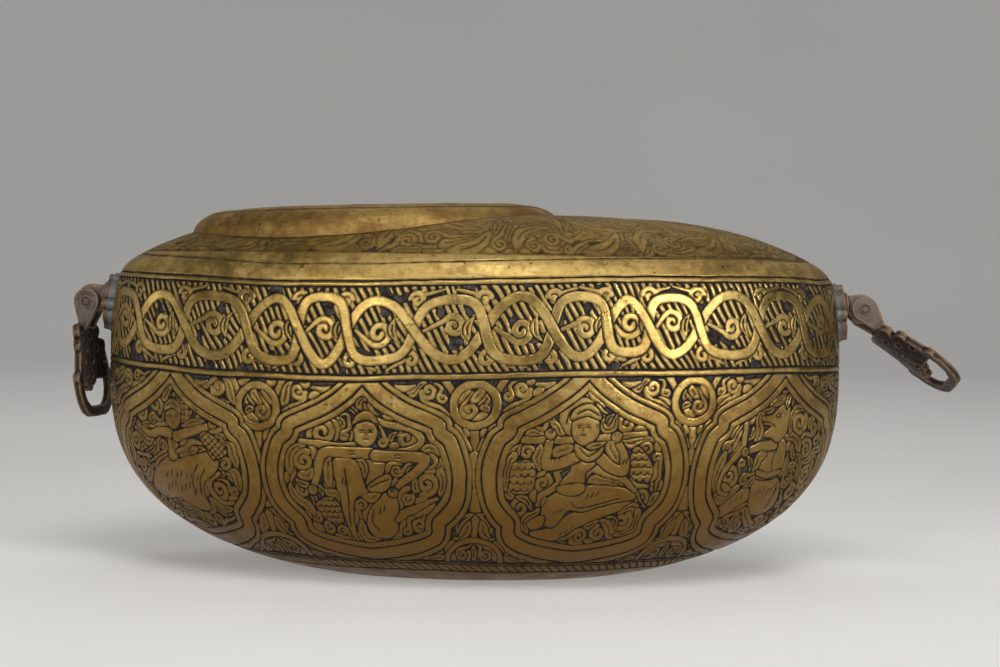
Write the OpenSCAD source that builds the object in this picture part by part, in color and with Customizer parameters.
// Kashkul, an oval begging bowl of hammered brass with a domed cover, a raised
// lip round the mouth and a swivelling pierced hanger at each end.
// Millimetres. X runs along the bowl, Z is up, the base stands on Z = 0.

/* [Bowl] */
// Half the length over the wall at its widest
half_length = 125; // [112:1:138]
// Half the width over the wall at its widest
half_width = 68.5; // [61:0.5:76]
// Thickness of the hammered sheet
sheet = 1.6; // [1.4:0.1:1.9]
// Height of the widest level above the base
belly_height = 68; // [61:1:75]
// How far the rounded bottom is flattened to stand
base_flat = 3; // [2.5:0.1:3.5]
// Fullness of the lower curve
belly_fullness = 2.6; // [2.3:0.1:2.9]
// Height of the shoulder above the widest level
shoulder_rise = 34; // [31:1:37]
// How far the wall leans in below the shoulder
shoulder_lean = 3; // [2.5:0.1:3.5]
// Softness of the shoulder bend
shoulder_bend = 6; // [5:0.5:7]

/* [Cover] */
// Rise of the domed cover above the shoulder
dome_rise = 19.4; // [17.5:0.1:21.5]
// Fullness of the dome
dome_fullness = 4.3; // [3.9:0.1:4.7]
// Height of the soldered seam above the shoulder
seam_rise = 5; // [4.5:0.1:5.5]

/* [Mouth] */
// Distance of the mouth from the middle of the bowl
mouth_offset = 34.3; // [31:0.1:37.5]
// Half the length of the lip at its foot
lip_half_length = 63; // [57:0.5:69]
// Half the width of the lip at its foot
lip_half_width = 50; // [45:0.5:54]
// Width of the rounded lip
lip_width = 13.3; // [12:0.1:14.6]
// Height of the rounded part of the lip
lip_height = 8; // [7.2:0.1:8.8]
// How far the crest of the lip stands above the dome
lip_over_dome = 1.8; // [1.6:0.1:2]
// How far the lip reaches in past its crest
lip_edge = 1.6; // [1.4:0.1:1.8]
// Depth of the lip's collar below its rounded part
lip_skirt = 7; // [6:0.1:8]
// Tilt of the lip towards the near end of the bowl
lip_tilt = 2; // [1.6:0.1:2.4]

/* [Hanger seats] */
// Depth of the swivel axis below the shoulder
axis_drop = 9.6; // [9.1:0.1:10.1]
// Upward tilt of the swivel axis, square to the wall
seat_tilt = 6; // [5:0.5:7]
// Sideways turn of the left seat
left_turn = 8; // [6:0.5:10]
// Thickness of the solder bed at the swivel axis
bed_thick = 0.9; // [0.8:0.1:1.1]
// Thickness of the backplate
plate_thick = 2.2; // [2:0.1:2.5]
// Radius of the backplate round the stud
plate_radius = 5; // [4.7:0.1:5.4]
// Distance from the swivel axis to the lower lobe
plate_lobe_drop = 6.8; // [6.4:0.1:7.2]
// Radius of the small end lobes of the backplate
plate_finial = 1.8; // [1.6:0.1:2]

/* [Swivel stud] */
// Radius of the stud's shank
shank_radius = 2; // [1.8:0.1:2.2]
// Running clearance round a turning pin
pin_clear = 0.08; // [0.05:0.01:0.1]
// Gap between faces that turn past each other
face_clear = 0.3; // [0.25:0.05:0.4]
// Radius of the stud's flange
flange_radius = 4; // [3.6:0.1:4.4]
// Thickness of the stud's flange
flange_thick = 0.8; // [0.7:0.1:0.9]
// Radius of the washer inside the wall
rove_radius = 4.4; // [4:0.1:4.8]
// Thickness of the washer inside the wall
rove_thick = 1.3; // [1.2:0.1:1.4]
// Radius of the peened end inside the wall
peen_radius = 3.3; // [3:0.1:3.6]
// Thickness of the peened end
peen_thick = 1.2; // [1.1:0.1:1.4]
// Thickness of the eye between the fork's cheeks
eye_thick = 4; // [3.6:0.1:4.4]
// Radius of the rounded eye
eye_radius = 4.9; // [4.6:0.1:5.2]

/* [Hinge] */
// Gap from the flange to the fork's cheeks
cheek_standoff = 0.7; // [0.6:0.1:0.9]
// Depth of the hinge rivet below the swivel axis
rivet_drop = 3.5; // [3.2:0.1:3.8]
// Radius of the hinge rivet
rivet_radius = 1.5; // [1.3:0.1:1.6]
// Radius of the rivet's heads
rivet_head_radius = 2; // [1.9:0.1:2.2]
// Height of the rivet's heads
rivet_head = 0.5; // [0.4:0.1:0.6]
// Radius of the fork's round cheeks
cheek_radius = 4.5; // [4.2:0.1:4.8]
// Thickness of each cheek
cheek_thick = 1.8; // [1.6:0.1:2]
// Distance from the rivet to the tip of the cheeks
cheek_reach = 8.4; // [7.8:0.1:9]

/* [Pierced plate] */
// Thickness of the pierced plate and its loop
drop_thick = 2.4; // [2.1:0.1:2.7]
// How far the plate lies below the rivet
drop_set = 2; // [1.8:0.1:2.2]
// Distance from the rivet to the foot of the loop
loop_reach = 27; // [25:0.5:29]
// Half the outer width of the loop
loop_half = 15.6; // [14.8:0.1:16.4]
// Length of the loop past the pierced plate
loop_rise = 12.7; // [12:0.1:13.5]
// Outer corner radius of the loop
loop_corner = 11; // [10:0.1:12]
// Width of the loop's bar
loop_bar = 3.6; // [3.2:0.1:4]
// Depth of the trough along the pierced plate
dish_depth = 2.2; // [2:0.1:2.5]
// Half the width of the trough
dish_radius = 11.5; // [11:0.1:12]
// Radius of the pierced holes
hole_radius = 0.95; // [0.85:0.05:1.05]
// Spacing of the pierced holes across the plate
hole_pitch = 7.2; // [6.7:0.1:7.7]

/* [Rest pose] */
// Swing of the right hanger below the swivel axis
right_swing = 43; // [30:1:60]
// Roll of the right hanger about the swivel axis
right_roll = -15; // [-30:1:30]
// Swing of the left hanger below the swivel axis
left_swing = 103; // [95:1:106]

/* [Hidden] */

oval_fn = 360;
round_fn = 48;
slack = 1;

belly_drop = belly_height + base_flat;
shoulder_height = belly_height + shoulder_rise;
seam_height = shoulder_height + seam_rise;
dome_half_length = half_length - shoulder_lean;
dome_top = shoulder_height + dome_rise;
lip_top = dome_top + lip_over_dome;
lip_spring = lip_top - lip_height;
lip_crest = lip_half_length - lip_width;
axis_height = shoulder_height - axis_drop;
axis_reach = wall_r(axis_height, 0);
plate_face = bed_thick + plate_thick;
flange_in = plate_face + face_clear;
flange_out = flange_in + flange_thick;
rivet_out = flange_out + cheek_standoff + cheek_radius;
fork_in = eye_thick / 2 + face_clear;
fork_out = fork_in + cheek_thick;
bridge_in = eye_radius + 0.8;

function lower_r(z, t) =
  (half_length - t)
  * pow(max(0, 1 - pow(max(0, belly_height - z) / (belly_drop - t), belly_fullness)), 1 / belly_fullness);

function flank_r(z, t) =
  half_length - t - shoulder_lean * pow(max(0, z - belly_height) / shoulder_rise, 2.2);

function dome_r(z, t) =
  (dome_half_length - t) * pow(max(0, 1 - (z - shoulder_height + t) / dome_rise), 1 / dome_fullness);

function soft_min(a, b, k) = min(a, b) - pow(max(0, k - abs(a - b)), 2) / (4 * k);

// Half length of the wall at height z, t inside its outer face.
function wall_r(z, t) =
  z < belly_height ? lower_r(z, t) : soft_min(flank_r(z, t), dome_r(z, t), shoulder_bend);

// Heights up the wall from z0, closest together where the bottom curves under.
function wall_heights(z0, z1) = concat(
  [for (i = [0:15]) z0 + (belly_height - z0) * pow(i / 15, 2)],
  [for (i = [1:5]) belly_height + (shoulder_rise - 6) * i / 5],
  [for (i = [1:7]) belly_height + shoulder_rise - 6 + (z1 - belly_height - shoulder_rise + 6) * i / 7]);

function wall_profile(z0, z1, t) = [for (z = wall_heights(z0, z1)) [wall_r(z, t), z]];

function dome_profile(z0, t) =
  let (r0 = dome_r(z0, t))
  [for (i = [0:15])
    let (r = r0 * (1 - i / 15))
    [r, shoulder_height - t + dome_rise * (1 - pow(r / (dome_half_length - t), dome_fullness))]];

function lip_arc(t) =
  [for (i = [0:10])
    [lip_crest + (lip_width - t) * cos(9 * i), lip_spring + (lip_height - t) * sin(9 * i)]];

// A solid turned in four quarters and stretched into an oval: half length l comes out as half width w.
module oval(l, w) {
  for (q = [0:3])
    scale([1, w / l, 1]) rotate([0, 0, 90 * q]) rotate_extrude(angle = 90, $fn = oval_fn) children();
}

// The bowl as a solid block, t inside its outer face, from z0 up to z1.
module bowl_solid(z0, z1, t) {
  oval(half_length - t, half_width - t)
    polygon(concat([[0, z1], [0, z0]], wall_profile(z0, z1, t)));
}

module dome_solid(z0, t) {
  oval(half_length - t, half_width - t)
    polygon(concat([[0, z0]], [[dome_r(z0, t), z0]], dome_profile(z0, t)));
}

module mouth_place() {
  translate([-mouth_offset, 0, lip_top]) rotate([0, -lip_tilt, 0]) translate([0, 0, -lip_top]) children();
}

// The lip filled in, from z0 up to its crest.
module lip_solid(z0) {
  mouth_place() oval(lip_half_length, lip_half_width)
    polygon(concat([[0, z0], [lip_half_length, z0]], lip_arc(0), [[0, lip_top]]));
}

// The space inside the lip.
module lip_space(z0) {
  mouth_place() oval(lip_half_length - sheet, lip_half_width - sheet)
    polygon(concat([[0, z0], [lip_half_length - sheet, z0]], lip_arc(sheet),
                   [[lip_crest - lip_edge, lip_top - sheet], [lip_crest - lip_edge, lip_top + slack],
                    [0, lip_top + slack]]));
}

module right_seat() {
  translate([axis_reach, 0, axis_height]) rotate([0, -seat_tilt, 0]) children();
}

module left_seat() {
  rotate([0, 0, 180]) translate([axis_reach, 0, axis_height])
    rotate([0, 0, -left_turn]) rotate([0, -seat_tilt, 0]) children();
}

module right_stud_place() {
  right_seat() rotate([right_roll, 0, 0]) children();
}

module right_drop_place() {
  right_stud_place() translate([rivet_out, 0, -rivet_drop]) rotate([0, right_swing, 0]) children();
}

module left_drop_place() {
  left_seat() translate([rivet_out, 0, -rivet_drop]) rotate([0, left_swing, 0]) children();
}

// A round bar along the swivel axis from x0 to x1.
module bar(r, x0, x1) {
  translate([x0, 0, 0]) rotate([0, 90, 0]) cylinder(r = r, h = x1 - x0, $fn = round_fn);
}

// A flat outline in the plane across the swivel axis, from x0 to x1.
module across(x0, x1) {
  translate([x0, 0, 0]) rotate([90, 0, 90]) linear_extrude(x1 - x0) children();
}

// A flat outline in the plane of the hinge's swing, from y0 to y1.
module along(y0, y1) {
  translate([0, y1, 0]) rotate([90, 0, 0]) linear_extrude(y1 - y0) children();
}

module disc(x, y, r) {
  translate([x, y]) circle(r = r, $fn = round_fn);
}

module plate_outline(grow) {
  disc(0, 0, plate_radius + grow);
  disc(0, -plate_lobe_drop, plate_radius - 0.8 + grow);
  disc(0, plate_radius, plate_finial + grow);
  disc(0, 1.2 - plate_lobe_drop - plate_radius, plate_finial + grow);
  disc(plate_radius, -plate_lobe_drop / 2, plate_finial + grow);
  disc(-plate_radius, -plate_lobe_drop / 2, plate_finial + grow);
}

module bed_blank() {
  difference() {
    across(-4, bed_thick) plate_outline(0.5);
    bar(shank_radius + 3 * pin_clear, -5, bed_thick + slack);
  }
}

module backplate() {
  difference() {
    across(bed_thick, plate_face) plate_outline(0);
    bar(shank_radius + pin_clear, bed_thick - slack, plate_face + slack);
  }
}

module rove_blank() {
  difference() {
    bar(rove_radius, -sheet - rove_thick, slack);
    bar(shank_radius + pin_clear, -sheet - rove_thick - slack, 2 * slack);
  }
}

module stud_hole() {
  bar(shank_radius + 3 * pin_clear, -9, 9);
}

module eye_stud() {
  peen_in = -sheet - rove_thick - face_clear;
  difference() {
    union() {
      bar(peen_radius, peen_in - peen_thick, peen_in);
      bar(shank_radius, peen_in - peen_thick, flange_in + slack / 2);
      bar(flange_radius, flange_in, flange_out);
      along(-eye_thick / 2, eye_thick / 2) {
        disc(rivet_out - 0.9, 1.1 - rivet_drop, eye_radius);
        translate([flange_out - slack / 2, 1.1 - rivet_drop])
          square([rivet_out - flange_out, eye_radius]);
        translate([flange_out - slack / 2, -rivet_drop])
          square([cheek_standoff + 2, rivet_drop]);
      }
    }
    translate([rivet_out, eye_thick, -rivet_drop]) rotate([90, 0, 0])
      cylinder(r = rivet_radius + pin_clear, h = 2 * eye_thick, $fn = round_fn);
  }
}

module hinge_rivet() {
  along(-fork_out, fork_out) disc(0, 0, rivet_radius);
  along(fork_out, fork_out + rivet_head) disc(0, 0, rivet_head_radius);
  along(-fork_out - rivet_head, -fork_out) disc(0, 0, rivet_head_radius);
}

// Pear-shaped cheek from the rivet to the root of the plate.
module cheek_outline() {
  tip = drop_thick / 2 + 0.3;
  reach = sqrt(pow(cheek_reach, 2) + pow(drop_set, 2));
  lean = asin((cheek_radius - tip) / reach);
  rotate(-atan2(drop_set, cheek_reach)) {
    disc(0, 0, cheek_radius);
    disc(reach, 0, tip);
    polygon([[cheek_radius * sin(lean), -cheek_radius * cos(lean)],
             [reach + tip * sin(lean), -tip * cos(lean)],
             [reach + tip * sin(lean), tip * cos(lean)],
             [cheek_radius * sin(lean), cheek_radius * cos(lean)]]);
  }
}

// The arched loop, drawn in by d from its outer edge.
module loop_outline(d) {
  foot = loop_reach + loop_rise - loop_corner;
  for (s = [-1, 1])
    disc(foot, s * (loop_half - loop_corner), loop_corner - d);
  translate([loop_reach, loop_corner - loop_half])
    square([loop_rise - d, 2 * (loop_half - loop_corner)]);
  translate([loop_reach, d - loop_half])
    square([loop_rise - loop_corner, 2 * (loop_half - d)]);
}

// Outline of the pierced plate and loop, with the rivet at the origin.
module drop_outline() {
  edge = loop_half - loop_bar / 2;
  difference() {
    union() {
      for (s = [-1, 1]) {
        polygon([[cheek_reach - 1, -slack], [cheek_reach - 1, s * fork_out], [cheek_reach + 1, s * edge / 2],
                 [loop_reach - 9, s * (edge * 0.72 + 2.2)], [loop_reach, s * (edge + 1.2)],
                 [loop_reach, -s * slack], [cheek_reach - 1, -s * slack]]);
        disc(cheek_reach + 2, s * edge * 0.52, 2.6);
        disc(loop_reach - 11.5, s * edge * 0.7, 2.6);
        disc(loop_reach - 0.8, s * edge, 2.4);
      }
      difference() {
        loop_outline(0);
        translate([0, -loop_half])
          square([loop_reach - slack, 2 * loop_half]);
      }
    }
    difference() {
      loop_outline(loop_bar);
      translate([0, -loop_half])
        square([loop_reach, 2 * loop_half]);
      disc(loop_reach + 1.4, 0, 2.5);
      disc(loop_reach - 0.6, -2.6, 2.6);
      disc(loop_reach - 0.6, 2.6, 2.6);
    }
    for (row = [0:2], k = [0:row + 1])
      disc(loop_reach - 15 + 4.2 * row, (k - (row + 1) / 2) * hole_pitch, hole_radius);
    disc(loop_reach + 1.7, 0, hole_radius);
    disc(loop_reach - 1.6, -2.5, hole_radius);
    disc(loop_reach - 1.6, 2.5, hole_radius);
  }
}

// Sag of the trough at distance v from its middle line.
function sag(v) = dish_depth * (1 - pow(v / dish_radius, 2));

// The slab of the plate, sunk into a shallow trough as far as the loop.
module dished_slab() {
  edge = loop_half + 3;
  half = drop_thick / 2;
  end = loop_reach + 4.1;
  steps = [for (i = [-4:4]) dish_radius * i / 4];
  across(0, end)
    polygon(concat([[-edge, -half]], [for (v = steps) [v, -half - sag(v)]], [[edge, -half], [edge, half]],
                   [for (i = [8:-1:0]) [steps[i], half - sag(steps[i])]], [[-edge, half]]));
  translate([end - 0.1, -edge, -half])
    cube([loop_reach + loop_rise + slack - end, 2 * edge, drop_thick]);
}

module drop_handle() {
  difference() {
    union() {
      along(fork_in, fork_out) cheek_outline();
      along(-fork_out, -fork_in) cheek_outline();
      translate([bridge_in, -fork_out, -drop_set - drop_thick / 2])
        cube([cheek_reach + 1 - bridge_in, 2 * fork_out, drop_thick]);
      translate([0, 0, -drop_set]) intersection() {
        translate([0, 0, -dish_depth - drop_thick])
          linear_extrude(dish_depth + drop_thick * 2) drop_outline();
        dished_slab();
      }
    }
    along(-fork_out - slack, fork_out + slack) disc(0, 0, rivet_radius);
  }
}

module bowl_body() {
  color("#b08a3c") difference() {
    bowl_solid(-slack, seam_height, 0);
    bowl_solid(sheet, seam_height + slack, sheet);
    translate([-half_length, -half_length, -10]) cube([2 * half_length, 2 * half_length, 10]);
    right_seat() stud_hole();
    left_seat() stud_hole();
  }
}

module top_cover() {
  color("#b8934a") difference() {
    dome_solid(seam_height, 0);
    dome_solid(seam_height - slack, sheet);
    lip_solid(shoulder_height);
  }
}

module mouth_lip() {
  color("#c09a50") difference() {
    lip_solid(lip_spring - lip_skirt);
    lip_space(lip_spring - lip_skirt - slack);
  }
}

module right_solder_bed() {
  color("#8f9296") difference() {
    right_seat() bed_blank();
    bowl_solid(-slack, seam_height, 0);
  }
}

module left_solder_bed() {
  color("#8f9296") difference() {
    left_seat() bed_blank();
    bowl_solid(-slack, seam_height, 0);
  }
}

module right_backplate() {
  color("#6f6a68") right_seat() backplate();
}

module left_backplate() {
  color("#6f6a68") left_seat() backplate();
}

module right_rove() {
  color("#7d7466") intersection() {
    right_seat() rove_blank();
    bowl_solid(sheet, seam_height + slack, sheet);
  }
}

module left_rove() {
  color("#7d7466") intersection() {
    left_seat() rove_blank();
    bowl_solid(sheet, seam_height + slack, sheet);
  }
}

module right_eye_stud() {
  color("#77706c") right_stud_place() eye_stud();
}

module left_eye_stud() {
  color("#77706c") left_seat() eye_stud();
}

module right_hinge_rivet() {
  color("#8a817c") right_drop_place() hinge_rivet();
}

module left_hinge_rivet() {
  color("#8a817c") left_drop_place() hinge_rivet();
}

module right_drop_handle() {
  color("#6b615b") right_drop_place() drop_handle();
}

// The left handle hangs with its hollow towards the wall.
module left_drop_handle() {
  color("#6b615b") left_drop_place() rotate([180, 0, 0]) drop_handle();
}

bowl_body();
top_cover();
mouth_lip();
right_solder_bed();
right_backplate();
right_rove();
right_eye_stud();
right_hinge_rivet();
right_drop_handle();
left_solder_bed();
left_backplate();
left_rove();
left_eye_stud();
left_hinge_rivet();
left_drop_handle();
